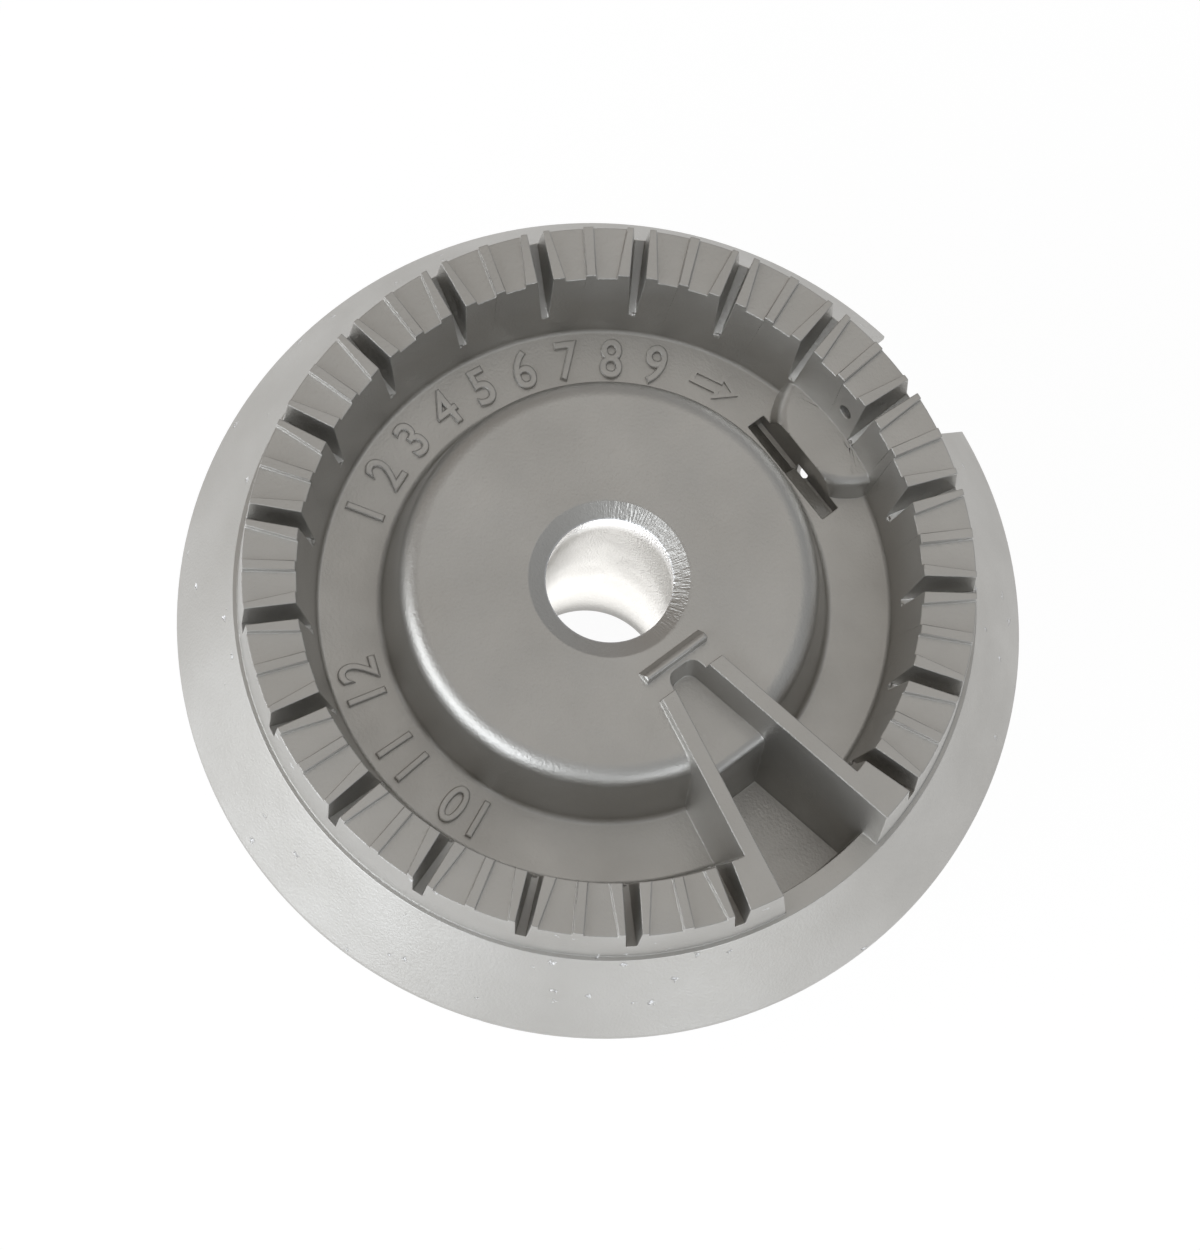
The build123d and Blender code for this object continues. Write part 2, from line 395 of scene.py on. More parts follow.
def cone(name, radius, radius_z, slope, low_z, high_z, centre=(0, 0)):
    """A round block whose radius is given at one height and grows upwards by a slope."""
    low = radius + (low_z - radius_z) * slope
    high = radius + (high_z - radius_z) * slope
    return turned(name, [(0, low_z), (low, low_z), (high, high_z), (0, high_z)], centre)


def select_edges(piece, wanted):
    """In edit mode, select the edges whose two ends pass a test."""
    hold(piece)
    bpy.ops.object.mode_set(mode="EDIT")
    bpy.ops.mesh.select_mode(type="EDGE")
    bpy.ops.mesh.select_all(action="DESELECT")
    bpy.ops.object.mode_set(mode="OBJECT")
    places = [vertex.co for vertex in piece.data.vertices]
    for edge in piece.data.edges:
        here, there = (places[number] for number in edge.vertices)
        edge.select = wanted(here, there)
    bpy.ops.object.mode_set(mode="EDIT")


def round_edges(piece, wanted, radius):
    """Give the edges that pass a test a round of the given radius."""
    select_edges(piece, wanted)
    bpy.ops.mesh.bevel(offset=radius, segments=ARC_STEPS, affect="EDGES")
    bpy.ops.object.mode_set(mode="OBJECT")


def combine(piece, part, operation):
    """Apply one exact boolean of a part to the piece, and delete the part."""
    hold(piece)
    step = piece.modifiers.new(operation.lower(), "BOOLEAN")
    step.operation = operation
    step.solver = "EXACT"
    step.object = part
    bpy.ops.object.modifier_apply(modifier=step.name)
    hold(part)
    bpy.ops.object.delete()
    return piece


def join(pieces):
    """Make several objects one object, without fusing them."""
    release_all()
    for piece in pieces:
        piece.select_set(True)
    bpy.context.view_layer.objects.active = pieces[0]
    if len(pieces) > 1:
        bpy.ops.object.join()
    return pieces[0]


def turned_copies(piece, angles):
    """One object that holds a copy of the piece at each angle about +Z."""
    copies = []
    for angle in angles:
        hold(piece)
        bpy.ops.object.duplicate()
        copy = bpy.context.object
        copy.rotation_euler.z = angle
        bpy.ops.object.transform_apply(location=True, rotation=True, scale=True)
        copies.append(copy)
    hold(piece)
    bpy.ops.object.delete()
    return join(copies)


def turned_casting():
    """The casting's round form: tube, dome, moat, crown and skirt in one section."""
    dome_edge = (DOME_TOP_RADIUS, 0, DOME_Z)
    dome_foot = (DOME_FOOT_RADIUS, 0, MOAT_Z)
    moat_edge = (MOAT_RADIUS, 0, MOAT_Z)
    crown_ceiling_edge = (CROWN_HOLLOW_END, 0, CROWN_CEILING_Z)
    hollow_foot = (DOME_FOOT_RADIUS - CASTING_WALL, 0, CEILING_Z)
    hollow_top = (DOME_TOP_RADIUS - CASTING_WALL, 0, DOME_CEILING_Z)
    tube_root = (TUBE_ROOT_RADIUS, 0, DOME_CEILING_Z)
    section = [
        (THROAT_RADIUS, 0, DOME_Z - LEAD_IN_DEPTH),
        (LEAD_IN_RADIUS, 0, DOME_Z),
        dome_edge,
        dome_foot,
        moat_edge,
        (CROWN_INNER_RADIUS, 0, CROWN_Z),
        (CROWN_OUTER_RADIUS, 0, CROWN_Z),
        (CROWN_FOOT_RADIUS, 0, SHOULDER_Z),
        (SHOULDER_RADIUS, 0, SHOULDER_Z),
        (SKIRT_RADIUS, 0, RIM_Z + RIM_LAND),
        (SKIRT_RADIUS, 0, RIM_Z),
        (SKIRT_INNER_RADIUS, 0, RIM_Z),
        crown_ceiling_edge,
        (CROWN_HOLLOW_START, 0, CROWN_CEILING_Z),
        (CROWN_HOLLOW_START, 0, CEILING_Z),
        hollow_foot,
        hollow_top,
        tube_root,
        (SPIGOT_RADIUS, 0, SPIGOT_LENGTH),
        (SPIGOT_RADIUS, 0, FOOT_CHAMFER),
        (SPIGOT_RADIUS - FOOT_CHAMFER, 0, 0),
        (SOCKET_RADIUS, 0, 0),
        (SOCKET_RADIUS, 0, SOCKET_LENGTH),
    ]
    rounded = {
        dome_edge: DOME_SHOULDER,
        dome_foot: DOME_FOOT_FILLET,
        moat_edge: MOAT_CORNER,
        crown_ceiling_edge: INNER_FILLET,
        hollow_top: INNER_FILLET,
        tube_root: INNER_FILLET,
    }
    casting = start_wire("burner_head_casting", section + section[:1])
    bpy.ops.mesh.select_all(action="SELECT")
    bpy.ops.mesh.remove_doubles(threshold=SAME_PLACE)
    for place, corner in enumerate(section):
        if corner in rounded:
            round_corner(casting, section[place - 1], corner, section[place + 1], rounded[corner])
    turn_about_axis()
    return casting


def chamber_outline(x_start, x_end, wall=0.0):
    """The widening outline of the chamber at the crown's height, with a wall outside it."""
    base = CHAMBER_HALF_WIDTH + wall
    near = base + (x_start - CHAMBER_WALL_START) * CHAMBER_WIDENING
    far = base + (x_end - CHAMBER_WALL_START) * CHAMBER_WIDENING
    return [(x_start, -near), (x_end, -far), (x_end, far), (x_start, near)]


def chamber_walls():
    """Two upright walls that shield the chamber, solid down to the casting's ceiling."""
    outline = chamber_outline(CHAMBER_WALL_START, CROWN_MIDDLE_RADIUS, CHAMBER_WALL)
    return block("walls", outline, CROWN_Z, -CHAMBER_WALL_SLOPE, CEILING_Z, CROWN_Z)


def shelf_root():
    """The block that joins the walls to the tube under the shelf's inner end."""
    half_width = CHAMBER_HALF_WIDTH + CHAMBER_WALL
    outline = rectangle(SPIGOT_RADIUS, CHAMBER_WALL_START + OVERLAP, -half_width, half_width)
    return block("shelf_root", outline, CEILING_Z, 0, CEILING_Z, DOME_Z - OVERLAP)


def well_box():
    """The box that hangs in the skirt and holds the chamber's deep well."""
    outline = chamber_outline(SHELF_END - CASTING_WALL, SKIRT_RADIUS, CASTING_WALL)
    low_z = WELL_FLOOR_Z - CASTING_WALL
    end = WELL_END_RADIUS + CASTING_WALL
    box = block("well_box", outline, CROWN_Z, CHAMBER_SLOPE, low_z, BOX_TOP_Z)
    limit = cone("well_box_end", end, CROWN_Z, CHAMBER_SLOPE, low_z - OVERLAP, CROWN_Z)
    return combine(box, limit, "INTERSECT")


def dam():
    """The small wall between the chamber and the tube's mouth, sloped towards the tube."""
    low_z = DOME_Z - OVERLAP
    section = [
        (DAM_START - DAM_RUN_OUT, low_z),
        (DAM_START + DAM_WIDTH / 2, CROWN_Z),
        (DAM_START + DAM_WIDTH, CROWN_Z),
        (DAM_START + DAM_WIDTH, low_z),
    ]
    ends = [[(x, side * DAM_LENGTH / 2, z) for x, z in section] for side in (-1, 1)]
    wall = prism("dam", ends[0], ends[1])
    round_edges(wall, lambda here, there: min(here.z, there.z) > DOME_Z, DAM_EDGE)
    return wall


def igniter_boss():
    """The raised pad inside the crown, over the igniter's place."""
    foot = MOAT_Z - OVERLAP
    boss = cone("boss", BOSS_RADIUS, BOSS_Z, -BOSS_SLOPE, foot, BOSS_Z, (0, BOSS_CENTRE_RADIUS))
    round_edges(
        boss,
        lambda here, there: min(here.z, there.z) > BOSS_Z - SLIVER
        and (here - there).length < LONG_EDGE,
        BOSS_EDGE,
    )
    limit = cone("boss_end", CROWN_MIDDLE_RADIUS, BOSS_Z, 0, foot - OVERLAP, BOSS_Z + OVERLAP)
    return combine(boss, limit, "INTERSECT")


def igniter_pad():
    """A block under the moat, which leaves a wall round the trench and the lower jet."""
    half_length = TRENCH_LENGTH / 2 + CASTING_WALL
    outline = rectangle(
        TRENCH_SHIFT - half_length,
        TRENCH_SHIFT + half_length,
        TRENCH_START - CASTING_WALL,
        TRENCH_END + 2 * CASTING_WALL,
    )
    return block("igniter_pad", outline, CEILING_Z, 0, PAD_Z, CEILING_Z + OVERLAP)


def chamber_side(side, outline):
    """Points of radius and height, carried out to one drafted side of the chamber."""
    lean = CHAMBER_SLOPE / cos(CHAMBER_HALF_ANGLE)
    points = []
    for x, z in outline:
        half = CHAMBER_HALF_WIDTH + (x - CHAMBER_WALL_START) * CHAMBER_WIDENING - (CROWN_Z - z) * lean
        points.append((x, side * half, z))
    return points


def chamber_cavity():
    """The shelf, the deep well behind the sill, and the open outlet, as one cutter."""
    shelf_z = CROWN_Z - SHELF_DEPTH
    high_z = CROWN_Z + OVERLAP
    outline = [
        (CHAMBER_START - OVERLAP * CHAMBER_SLOPE, high_z),
        (CHAMBER_START + SHELF_DEPTH * CHAMBER_SLOPE, shelf_z),
        (SHELF_EDGE_X, shelf_z),
        (SHELF_END + (CROWN_Z - WELL_FLOOR_Z) * CHAMBER_SLOPE, WELL_FLOOR_Z),
        (SKIRT_RADIUS + OVERLAP, WELL_FLOOR_Z),
        (SKIRT_RADIUS + OVERLAP, high_z),
    ]
    cavity = prism("chamber", chamber_side(-1, outline), chamber_side(1, outline))
    round_edges(
        cavity,
        lambda here, there: max(here.x, there.x) < CHAMBER_WALL_START
        and abs(here.z - there.z) > LONG_EDGE,
        CHAMBER_CORNER,
    )
    half_width = SKIRT_RADIUS / 2
    low_z = WELL_FLOOR_Z - OVERLAP
    limits = rectangle(CROWN_INNER_RADIUS, SKIRT_RADIUS + 2 * OVERLAP, -half_width, half_width)
    sill = block("sill", limits, SHOULDER_Z, 0, low_z, SHOULDER_Z)
    end = cone("well_end", WELL_END_RADIUS, CROWN_Z, CHAMBER_SLOPE, low_z - OVERLAP, CROWN_Z)
    combine(sill, end, "DIFFERENCE")
    return combine(cavity, sill, "DIFFERENCE")


def across_trench(name, x_low, x_high, section):
    """A cutter that runs along the trench with a section of radius and height."""
    return prism(
        name, [(x_low, y, z) for y, z in section], [(x_high, y, z) for y, z in section]
    )


def igniter_cavities():
    """The trench's cutters: a narrow slit, and a gentle and a steep ramp down to its halves."""
    x_low = TRENCH_SHIFT - TRENCH_LENGTH / 2
    x_high = TRENCH_SHIFT + TRENCH_LENGTH / 2
    slit_start = TRENCH_END - TRENCH_SLIT
    top = BOSS_Z + OVERLAP
    ramp_top = (TRENCH_START, MOAT_Z - RAMP_TOP_DEPTH)
    slit = [(slit_start, top), (TRENCH_END, top), (TRENCH_END, TRENCH_Z), (slit_start, TRENCH_Z)]
    gentle, steep = (
        [(TRENCH_START, top), (TRENCH_END, top), (TRENCH_END, foot), (slit_start, foot), ramp_top]
        for foot in (MOAT_Z - GENTLE_RAMP_DEPTH, MOAT_Z - STEEP_RAMP_DEPTH)
    )
    return [
        across_trench("slit", x_low, x_high, slit),
        across_trench("gentle_ramp", TRENCH_SHIFT, x_high, gentle),
        across_trench("steep_ramp", x_low, TRENCH_SHIFT, steep),
    ]


def jet(name, start, slope, run):
    """A drilled hole that runs outwards over the igniter, and down by a slope."""
    middle = Vector(start) + Vector((0, cos(slope), -sin(slope))) * run / 2
    bpy.ops.mesh.primitive_cylinder_add(
        vertices=JET_STEPS,
        radius=JET_DIAMETER / 2,
        depth=run,
        location=middle,
        rotation=(pi / 2 - slope, 0, 0),
    )
    tool = bpy.context.object
    tool.name = name
    bpy.ops.object.transform_apply(location=True, rotation=True, scale=True)
    return tool


def jets():
    """The upper jet straight through the crown and the lower one down from the trench."""
    release_all()
    lower_z = RIM_Z + LOWER_JET_RISE
    upper = (0, PORT_START_RADIUS, RIM_Z + UPPER_JET_RISE)
    lower = (LOWER_JET_SIDE, TRENCH_END, lower_z)
    return [
        jet("upper_jet", upper, 0, CROWN_FOOT_RADIUS + OVERLAP - PORT_START_RADIUS),
        jet("lower_jet", lower, LOWER_JET_SLOPE, lower_z - PAD_Z + 2 * OVERLAP),
    ]


def skirt_notch():
    """The electrode's notch through the skirt, outside the crown's foot."""
    low_z = RIM_Z - OVERLAP
    high_z = SHOULDER_Z + OVERLAP
    half_width = NOTCH_WIDTH / 2
    outline = rectangle(-half_width, half_width, BOSS_CENTRE_RADIUS, SKIRT_RADIUS + 2 * OVERLAP)
    notch = block("notch", outline, RIM_Z, 0, low_z, high_z)
    crown = cone("notch_limit", CROWN_FOOT_RADIUS, RIM_Z, 0, low_z - OVERLAP, high_z + OVERLAP)
    return combine(notch, crown, "DIFFERENCE")


def flame_ports():
    """Twenty ports, whose sides draw in downwards and whose floors rise outwards."""
    rise = (PORT_DEPTH_INSIDE - PORT_DEPTH_OUTSIDE) / (CROWN_OUTER_RADIUS - PORT_START_RADIUS)
    high_z = CROWN_Z + OVERLAP
    mouths = []
    for radius in (PORT_START_RADIUS - OVERLAP / 2, CROWN_OUTER_RADIUS + 2 * OVERLAP):
        low_z = CROWN_Z - PORT_DEPTH_INSIDE + (radius - PORT_START_RADIUS) * rise
        low_half = PORT_WIDTH / 2 - (CROWN_Z - low_z) * PORT_SLOPE
        high_half = PORT_WIDTH / 2 + OVERLAP * PORT_SLOPE
        mouths.append([
            (radius, -low_half, low_z),
            (radius, low_half, low_z),
            (radius, high_half, high_z),
            (radius, -high_half, high_z),
        ])
    port = prism("port", mouths[0], mouths[1])
    return turned_copies(port, [PITCH * place for place in range(1, PORT_POSITIONS)])


def tooth_point(radius, side, land):
    """A point on a tooth's top, a land's width in from the port beside it."""
    angle = PITCH / 2 - asin((PORT_WIDTH / 2 + land) / radius)
    return (radius * cos(angle), side * radius * sin(angle))


def tooth_recesses():
    """Two shallow recesses in the top of each whole tooth."""
    start = CROWN_INNER_RADIUS - OVERLAP
    end = CROWN_FOOT_RADIUS + OVERLAP
    pair = []
    for side in (-1, 1):
        outline = [
            (start, side * TOOTH_RIDGE / 2),
            (end, side * TOOTH_RIDGE / 2),
            tooth_point(end, side, TOOTH_LAND_OUTSIDE),
            tooth_point(start, side, TOOTH_LAND_INSIDE),
        ]
        pair.append(
            block("recess", outline[::side], CROWN_Z, 0, CROWN_Z - RECESS_DEPTH, CROWN_Z + OVERLAP)
        )
    recesses = join(pair)
    return turned_copies(recesses, [PITCH * (place + 0.5) for place in range(1, PORT_POSITIONS - 1)])


def casting():
    """The whole casting, cut and eased, in metres."""
    piece = turned_casting()
    for part in (chamber_walls(), shelf_root(), well_box(), dam(), igniter_boss(), igniter_pad()):
        combine(piece, part, "UNION")
    for tool in [chamber_cavity()] + igniter_cavities() + jets():
        combine(piece, tool, "DIFFERENCE")
    for tool in (skirt_notch(), flame_ports(), tooth_recesses()):
        combine(piece, tool, "DIFFERENCE")
    shelf_z = CROWN_Z - SHELF_DEPTH
    round_edges(
        piece,
        lambda here, there: max(abs(here.x - SHELF_EDGE_X), abs(there.x - SHELF_EDGE_X)) < SLIVER
        and max(abs(here.z - shelf_z), abs(there.z - shelf_z)) < SLIVER
        and abs(here.y - there.y) > LONG_EDGE,
        SHELF_EDGE,
    )
    ease_edges(piece)
    finish_in_metres(piece)
    return piece


def carry_to_moat(piece, angle, radius):
    """Bring a flat piece from the origin to the moat floor, with its +Y outwards."""
    hold(piece)
    bpy.ops.transform.translate(value=(0, radius, MOAT_Z))
    bpy.ops.object.transform_apply(location=True, rotation=True, scale=True)
    piece.rotation_euler.z = radians(angle - 90)
    bpy.ops.object.transform_apply(location=True, rotation=True, scale=True)
    return piece


def raised_figures(figures, arc):
    """Numerals spread evenly over an arc of the moat floor, a space between numbers."""
    pieces = []
    step = (arc[1] - arc[0]) / (len(figures) - 1)
    for place, figure in enumerate(figures):
        if figure == " ":
            continue
        release_all()
        bpy.ops.object.text_add()
        numeral = bpy.context.object
        numeral.data.body = figure
        numeral.data.align_x = "CENTER"
        numeral.data.size = FIGURE_SIZE
        numeral.data.offset = FIGURE_THINNING
        numeral.data.extrude = FIGURE_RISE - FIGURE_EDGE
        numeral.data.bevel_depth = FIGURE_EDGE
        numeral.data.bevel_resolution = EDGE_STEPS
        bpy.ops.object.convert(target="MESH")
        numeral = bpy.context.object
        numeral.scale.x = FIGURE_NARROWING
        bpy.ops.object.transform_apply(location=True, rotation=True, scale=True)
        pieces.append(carry_to_moat(numeral, arc[0] + step * place, FIGURE_FOOT))
    return pieces


def raised_arrow():
    """The outline of an arrow that points clockwise to the igniter's trench."""
    outline = [
        (-ARROW_HALF_LENGTH, -ARROW_HALF_SHAFT, 0),
        (ARROW_HEAD_START, -ARROW_HALF_SHAFT, 0),
        (ARROW_HEAD_START, -ARROW_HALF_HEAD, 0),
        (ARROW_HALF_LENGTH, 0, 0),
        (ARROW_HEAD_START, ARROW_HALF_HEAD, 0),
        (ARROW_HEAD_START, ARROW_HALF_SHAFT, 0),
        (-ARROW_HALF_LENGTH, ARROW_HALF_SHAFT, 0),
    ]
    arrow = start_ring("arrow", outline)
    bpy.ops.mesh.select_mode(type="FACE")
    bpy.ops.mesh.select_all(action="SELECT")
    bpy.ops.mesh.inset(thickness=ARROW_LINE)
    bpy.ops.mesh.delete(type="FACE")
    bpy.ops.mesh.select_all(action="SELECT")
    bpy.ops.mesh.extrude_region_move(TRANSFORM_OT_translate={"value": (0, 0, FIGURE_RISE)})
    bpy.ops.mesh.select_all(action="SELECT")
    bpy.ops.transform.translate(value=(0, 0, -FIGURE_EDGE))
    bpy.ops.mesh.normals_make_consistent(inside=False)
    bpy.ops.object.mode_set(mode="OBJECT")
    return carry_to_moat(arrow, ARROW_ANGLE, ARROW_RADIUS)


def moat_figures():
    """The raised numerals and the arrow, as one piece on the moat floor."""
    figures = raised_figures("123456789", LONG_ARC) + raised_figures("10 11 12", SHORT_ARC)
    piece = join(figures + [raised_arrow()])
    piece.name = "moat_figures"
    finish_in_metres(piece)
    return piece


def port_burrs():
    """A small lump of metal left by the saw at the inner foot of each port."""
    chance = Random(BURR_SEED)
    foot_z = CROWN_Z - PORT_DEPTH_INSIDE - BURR_SIZE / 4
    lumps = []
    for place in range(1, PORT_POSITIONS):
        release_all()
        turn = PITCH * place
        side = chance.uniform(-BURR_ASIDE, BURR_ASIDE)
        across = Vector((-sin(turn), cos(turn), 0)) * side
        outward = Vector((cos(turn), sin(turn), 0)) * (PORT_START_RADIUS + BURR_SIZE / 4)
        bpy.ops.mesh.primitive_ico_sphere_add(
            subdivisions=3,
            radius=BURR_SIZE * chance.uniform(BURR_LEAST, 1),
            location=outward + across + Vector((0, 0, foot_z)),
            rotation=(0, 0, turn),
        )
        lump = bpy.context.object
        lump.scale = (BURR_THICKNESS, BURR_WIDTH, chance.uniform(*BURR_HEIGHTS))
        bpy.ops.object.transform_apply(location=True, rotation=True, scale=True)
        bpy.ops.object.mode_set(mode="EDIT")
        bpy.ops.transform.vertex_random(offset=BURR_SIZE / 8, seed=place)
        bpy.ops.object.mode_set(mode="OBJECT")
        lumps.append(lump)
    piece = join(lumps)
    piece.name = "port_burrs"
    finish_in_metres(piece)
    return piece


def ease_edges(piece):
    """Clear slivers away, then round every sharp edge a little."""
    hold(piece)
    bpy.ops.object.mode_set(mode="EDIT")
    bpy.ops.mesh.select_all(action="SELECT")
    bpy.ops.mesh.remove_doubles(threshold=SLIVER)
    bpy.ops.object.mode_set(mode="OBJECT")
    ease = piece.modifiers.new("ease", "BEVEL")
    ease.width = EDGE_EASE
    ease.segments = EDGE_STEPS
    ease.limit_method = "ANGLE"
    ease.angle_limit = SHARP_EDGE
    ease.use_clamp_overlap = False
    ease.miter_outer = "MITER_ARC"
    bpy.ops.object.modifier_apply(modifier=ease.name)


def finish_in_metres(piece):
    """Shade the piece smooth between its edges and bring it to metres."""
    hold(piece)
    bpy.ops.object.shade_smooth_by_angle(angle=SHARP_EDGE)
    even = piece.modifiers.new("even_shading", "WEIGHTED_NORMAL")
    even.keep_sharp = True
    bpy.ops.object.modifier_apply(modifier=even.name)
    piece.scale = (TO_METRES, TO_METRES, TO_METRES)
    bpy.ops.object.transform_apply(location=True, rotation=True, scale=True)


def add_node(tree, kind, inputs=None, **settings):
    """A node with its settings, and a value or a link for each named input."""
    node = tree.nodes.new(kind)
    for name, value in settings.items():
        setattr(node, name, value)
    for name, value in (inputs or {}).items():
        if isinstance(value, bpy.types.NodeSocket):
            tree.links.new(value, node.inputs[name])
        else:
            node.inputs[name].default_value = value
    return node


def reckon(tree, operation, *values):
    """The result of one arithmetic step on values or sockets."""
    return add_node(tree, "ShaderNodeMath", dict(enumerate(values)), operation=operation).outputs[0]


def mapped(tree, value, span, low=0.0, high=1.0):
    """A value carried from a span to another, held at the ends."""
    return add_node(
        tree,
        "ShaderNodeMapRange",
        {"Value": value, "From Min": span[0], "From Max": span[1], "To Min": low, "To Max": high},
    ).outputs["Result"]


def noise(tree, where, scale, detail):
    """Even noise from 0 to 1."""
    return add_node(
        tree, "ShaderNodeTexNoise", {"Vector": where, "Scale": scale, "Detail": detail}
    ).outputs["Fac"]


def within(tree, radius, limit):
    """A mask that is 1 where a radius in metres is under a limit in millimetres, and else 0."""
    return mapped(tree, radius, ((limit - MASK_EDGE) * TO_METRES, limit * TO_METRES), 1, 0)


def tinted(tree, share, first, second):
    """One colour that turns into a second as the share grows from 0 to 1."""
    return add_node(
        tree, "ShaderNodeMixRGB", {"Fac": share, "Color1": first, "Color2": second}
    ).outputs["Color"]


def relief(tree, height, strength, depth, under=None):
    """The shading of a relief of some depth in millimetres, on top of another relief."""
    inputs = {"Height": height, "Strength": strength, "Distance": depth * TO_METRES}
    if under is not None:
        inputs["Normal"] = under
    return add_node(tree, "ShaderNodeBump", inputs).outputs["Normal"]


def stage_floor():
    """The plain pale floor, which stays white to the eye apart from a soft shadow."""
    release_all()
    bpy.ops.mesh.primitive_plane_add(size=FLOOR_SIZE, location=(0, 0, 0))
    floor = bpy.context.object
    floor.name = "floor"
    material = bpy.data.materials.new("pale_floor")
    material.use_nodes = True
    tree = material.node_tree
    surface = tree.nodes["Principled BSDF"]
    surface.inputs["Base Color"].default_value = FLOOR_GREY
    surface.inputs["Roughness"].default_value = FLOOR_ROUGHNESS
    glow = add_node(tree, "ShaderNodeEmission", {"Strength": GLOW_STRENGTH})
    path = add_node(tree, "ShaderNodeLightPath").outputs
    through = reckon(tree, "MAXIMUM", path["Is Glossy Ray"], path["Is Transmission Ray"])
    mirrored = reckon(tree, "MULTIPLY", through, MIRRORED_GLOW)
    seen = reckon(tree, "MULTIPLY", path["Is Camera Ray"], FLOOR_GLOW)
    share = reckon(tree, "MAXIMUM", seen, mirrored)
    blend = add_node(
        tree, "ShaderNodeMixShader", {0: share, 1: surface.outputs[0], 2: glow.outputs[0]}
    )
    tree.links.new(blend.outputs[0], tree.nodes["Material Output"].inputs["Surface"])
    floor.data.materials.append(material)


def lead_in_marks(tree, here):
    """Short marks of the drill that point at the tube's axis, deepest on one side of it."""
    parts = add_node(tree, "ShaderNodeSeparateXYZ", {"Vector": here}).outputs
    turn = reckon(tree, "ARCTAN2", parts["Y"], parts["X"])
    round_way = reckon(tree, "MULTIPLY", turn, MARKS_ROUND)
    down_way = reckon(tree, "MULTIPLY", parts["Z"], MARKS_DOWN)
    where = add_node(tree, "ShaderNodeCombineXYZ", {"X": round_way, "Y": down_way}).outputs["Vector"]
    rightward, upward = photo_directions()
    deepest = rightward * MARKED_WAY[0] + upward * MARKED_WAY[1]
    facing = add_node(
        tree, "ShaderNodeVectorMath", {0: here, 1: deepest}, operation="DOT_PRODUCT"
    ).outputs["Value"]
    on_side = mapped(tree, facing, [end * TO_METRES for end in MARKED_SPAN])
    return reckon(tree, "MULTIPLY", noise(tree, where, scale=1, detail=2), on_side)


def nicks(tree, here, radius):
    """A mask that is 0 in small ragged nicks on the skirt, and else 1."""
    shaking = add_node(tree, "ShaderNodeTexNoise", {"Vector": here, "Scale": SHAKE_SCALE})
    shaken = add_node(
        tree,
        "ShaderNodeVectorMath",
        {0: shaking.outputs["Color"], 1: [SHAKE_WIDTH * TO_METRES] * 3, 2: here},
        operation="MULTIPLY_ADD",
    ).outputs[0]
    cells = add_node(tree, "ShaderNodeTexVoronoi", {"Vector": shaken, "Scale": NICK_SCALE})
    sheltered = within(tree, radius, CROWN_OUTER_RADIUS)
    reach = reckon(tree, "MULTIPLY_ADD", sheltered, NICK_SHELTER, cells.outputs["Distance"])
    return mapped(tree, reach, NICK_SPAN)


def cast_aluminium():
    """Satin grey cast aluminium: fine grain, faint clouds, small nicks, and a smooth throat of pale
    machined metal whose paleness is partly painted light, for the light that comes up the tube.
    """
    material = bpy.data.materials.new("cast_aluminium")
    material.use_nodes = True
    tree = material.node_tree
    surface = tree.nodes["Principled BSDF"]
    surface.inputs["Metallic"].default_value = 1.0
    here = add_node(tree, "ShaderNodeTexCoord").outputs["Object"]
    level = add_node(tree, "ShaderNodeVectorMath", {0: here, 1: (1, 1, 0)}, operation="MULTIPLY")
    radius = add_node(
        tree, "ShaderNodeVectorMath", {0: level.outputs[0]}, operation="LENGTH"
    ).outputs["Value"]
    in_bore = within(tree, radius, THROAT_RADIUS + BORE_MARGIN)
    unmarked = nicks(tree, here, radius)

    clouds = mapped(tree, noise(tree, here, CLOUD_SCALE, detail=4), CLOUD_SPAN)
    struck = tinted(tree, unmarked, BRIGHT_METAL, tinted(tree, clouds, DARK_METAL, PALE_METAL))
    # Painted light in part: the bore is machined metal, and its pale colour also stands in for the
    # light that comes up the tube.
    colour = tinted(tree, in_bore, struck, BRIGHT_METAL)
    tree.links.new(colour, surface.inputs["Base Color"])

    cast = mapped(tree, in_bore, (0, 1), CAST_ROUGHNESS, BORE_ROUGHNESS)
    streaks = noise(tree, here, STREAK_SCALE, detail=3)
    streaks = mapped(tree, streaks, (0, 1), -STREAK_SPREAD, STREAK_SPREAD)
    tree.links.new(reckon(tree, "ADD", cast, streaks), surface.inputs["Roughness"])

    in_lead = within(tree, radius, LEAD_IN_RADIUS)
    marks = reckon(tree, "MULTIPLY", lead_in_marks(tree, here), in_lead)
    grain = noise(tree, here, GRAIN_SCALE, detail=3)
    grained = relief(tree, grain, GRAIN_STRENGTH, GRAIN_DEPTH)
    waves = noise(tree, here, WAVE_SCALE, detail=2)
    waved = relief(tree, waves, WAVE_STRENGTH, WAVE_DEPTH, grained)
    nicked = relief(tree, unmarked, NICK_STRENGTH, NICK_DEPTH, waved)
    marked = relief(tree, marks, MARK_STRENGTH, MARK_DEPTH, nicked)
    tree.links.new(marked, surface.inputs["Normal"])
    return material


def photo_directions():
    """The photograph's right and upward directions, level on the floor."""
    roll = radians(VIEW_ROLL) + radians(VIEW_TURN)
    return Vector((cos(roll), -sin(roll), 0)), Vector((sin(roll), cos(roll), 0))


def soft_lamp(name, turn, height, distance, size, power, colour):
    """A large square lamp that looks at the crown, turned from the photograph's right."""
    rightward, upward = photo_directions()
    level = rightward * cos(radians(turn)) + upward * sin(radians(turn))
    target = Vector((0, 0, CROWN_Z * TO_METRES))
    place = target + (level * cos(radians(height)) + Vector((0, 0, sin(radians(height))))) * distance
    bpy.ops.object.light_add(type="AREA", location=place)
    lamp = bpy.context.object
    lamp.name = name
    lamp.rotation_euler = (target - place).to_track_quat("-Z", "Y").to_euler()
    lamp.data.size = size
    lamp.data.energy = power
    lamp.data.color = colour


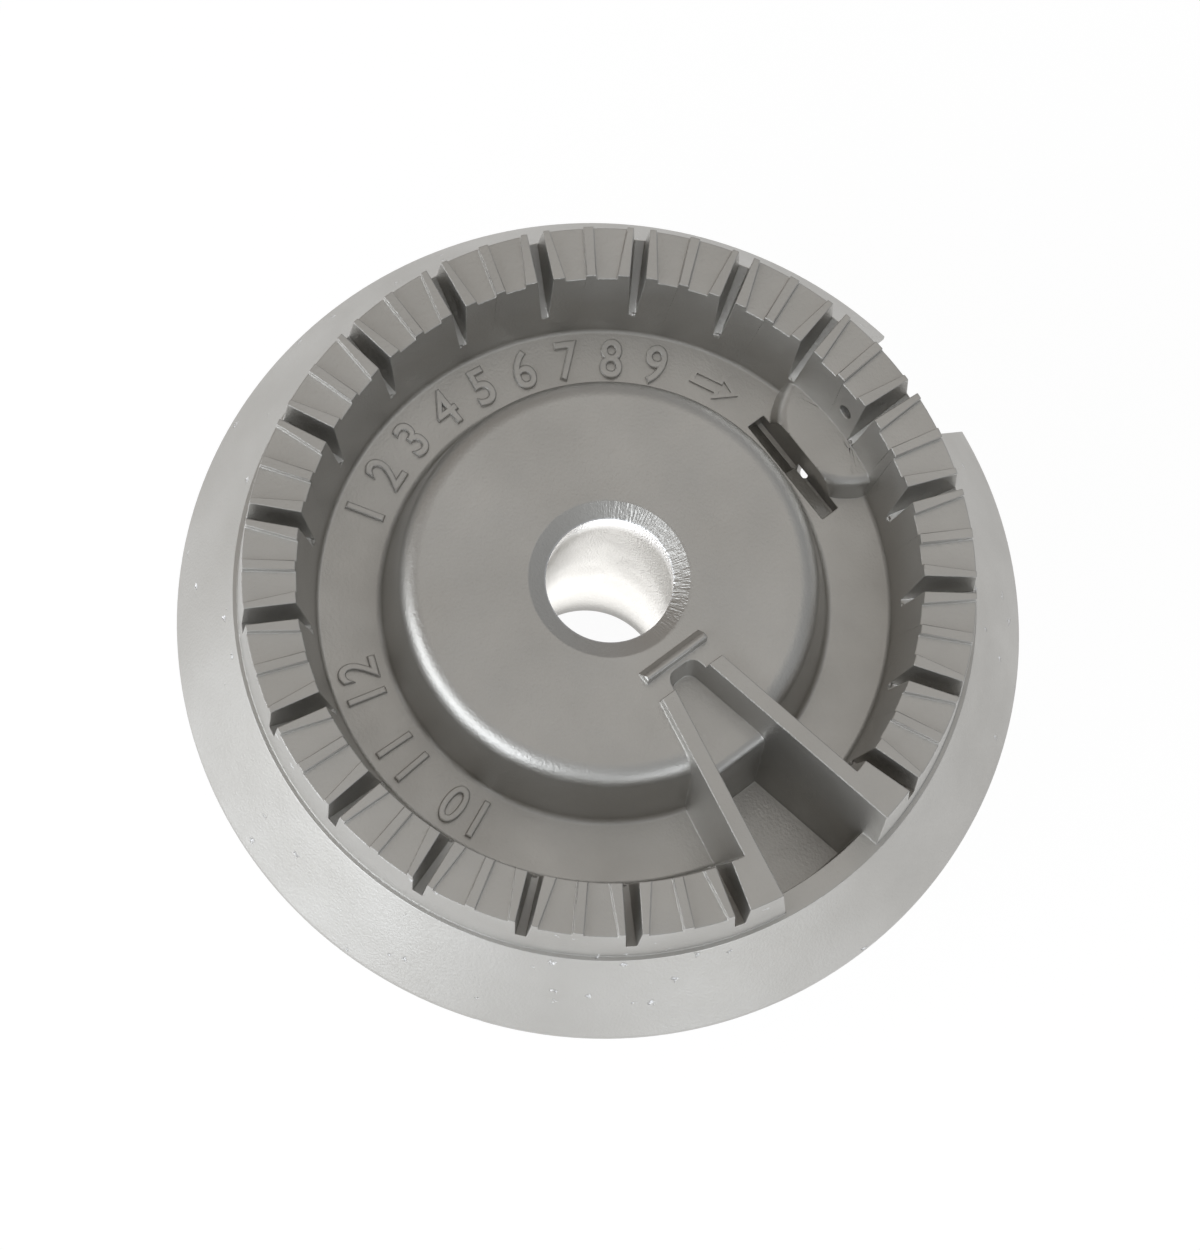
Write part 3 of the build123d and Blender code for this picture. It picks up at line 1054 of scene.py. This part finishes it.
def bore_lamp():
    """A small round lamp at the tube's foot, in place of the daylight that comes up it."""
    bpy.ops.object.light_add(type="AREA", location=(0, 0, TO_METRES), rotation=(pi, 0, 0))
    lamp = bpy.context.object
    lamp.name = "bore_lamp"
    lamp.data.shape = "DISK"
    lamp.data.size = 2 * THROAT_RADIUS * TO_METRES
    lamp.data.energy = BORE_POWER


def pale_world():
    """A pale world, plain white where it is looked at or looked through to."""
    world = bpy.data.worlds.new("studio")
    bpy.context.scene.world = world
    world.use_nodes = True
    tree = world.node_tree
    rightward = photo_directions()[0]
    way = add_node(tree, "ShaderNodeTexCoord").outputs["Generated"]
    side = add_node(
        tree, "ShaderNodeVectorMath", {0: way, 1: rightward}, operation="DOT_PRODUCT"
    ).outputs["Value"]
    shade = tinted(tree, mapped(tree, side, (-1, CLEAR_START)), BROWN_SIDE, CLEAR_SIDE)
    light = tree.nodes["Background"]
    tree.links.new(shade, light.inputs["Color"])
    light.inputs["Strength"].default_value = WORLD_LIGHT
    backdrop = add_node(tree, "ShaderNodeBackground", {"Color": BACKDROP_WHITE, "Strength": 1})
    path = add_node(tree, "ShaderNodeLightPath").outputs
    seen = reckon(tree, "MAXIMUM", path["Is Camera Ray"], path["Is Transmission Ray"])
    whole = add_node(
        tree, "ShaderNodeMixShader", {0: seen, 1: light.outputs[0], 2: backdrop.outputs[0]}
    )
    tree.links.new(whole.outputs[0], tree.nodes["World Output"].inputs["Surface"])


def studio():
    """The world and the lamps, the strongest of them low at the photograph's lower left."""
    pale_world()
    soft_lamp(
        "key_lamp", turn=236, height=12, distance=0.6, size=0.8, power=KEY_POWER, colour=COOL_LIGHT
    )
    soft_lamp(
        "fill_lamp", turn=318, height=10, distance=0.6, size=0.3, power=FILL_POWER, colour=COOL_LIGHT
    )
    soft_lamp(
        "overhead_lamp",
        turn=90,
        height=74,
        distance=1.2,
        size=0.9,
        power=OVERHEAD_POWER,
        colour=WARM_LIGHT,
    )
    bore_lamp()


def view_camera():
    """The camera of the photograph, over the part and a little towards its lower side."""
    tilt = radians(VIEW_ELEVATION)
    roll = radians(VIEW_ROLL)
    back = Vector((0, -cos(tilt), sin(tilt)))
    right = Vector((1, 0, 0))
    up = back.cross(right)
    across = cos(roll) * right + sin(roll) * up
    upwards = -sin(roll) * right + cos(roll) * up
    place = back * VIEW_DISTANCE - across * VIEW_ASIDE - upwards * VIEW_ABOVE
    turn = Matrix.Rotation(-radians(VIEW_TURN), 4, "Z")
    stand = Matrix((across, upwards, back)).transposed().to_4x4()
    stand.translation = place
    stand = turn @ stand
    stand.translation += Vector((0, 0, TUBE_DROP))
    stand.translation *= TO_METRES
    bpy.ops.object.camera_add()
    camera = bpy.context.object
    camera.matrix_world = stand
    camera.data.lens = VIEW_LENS
    camera.data.clip_start = VIEW_NEAREST
    bpy.context.scene.camera = camera


view_camera()
stage_floor()
studio()
bpy.context.scene.view_settings.view_transform = "Standard"
burner_head = casting()
figures = moat_figures()
burrs = port_burrs()
aluminium = cast_aluminium()
for piece in (burner_head, figures, burrs):
    piece.data.materials.append(aluminium)
    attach(piece, "root")
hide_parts("burner_head")
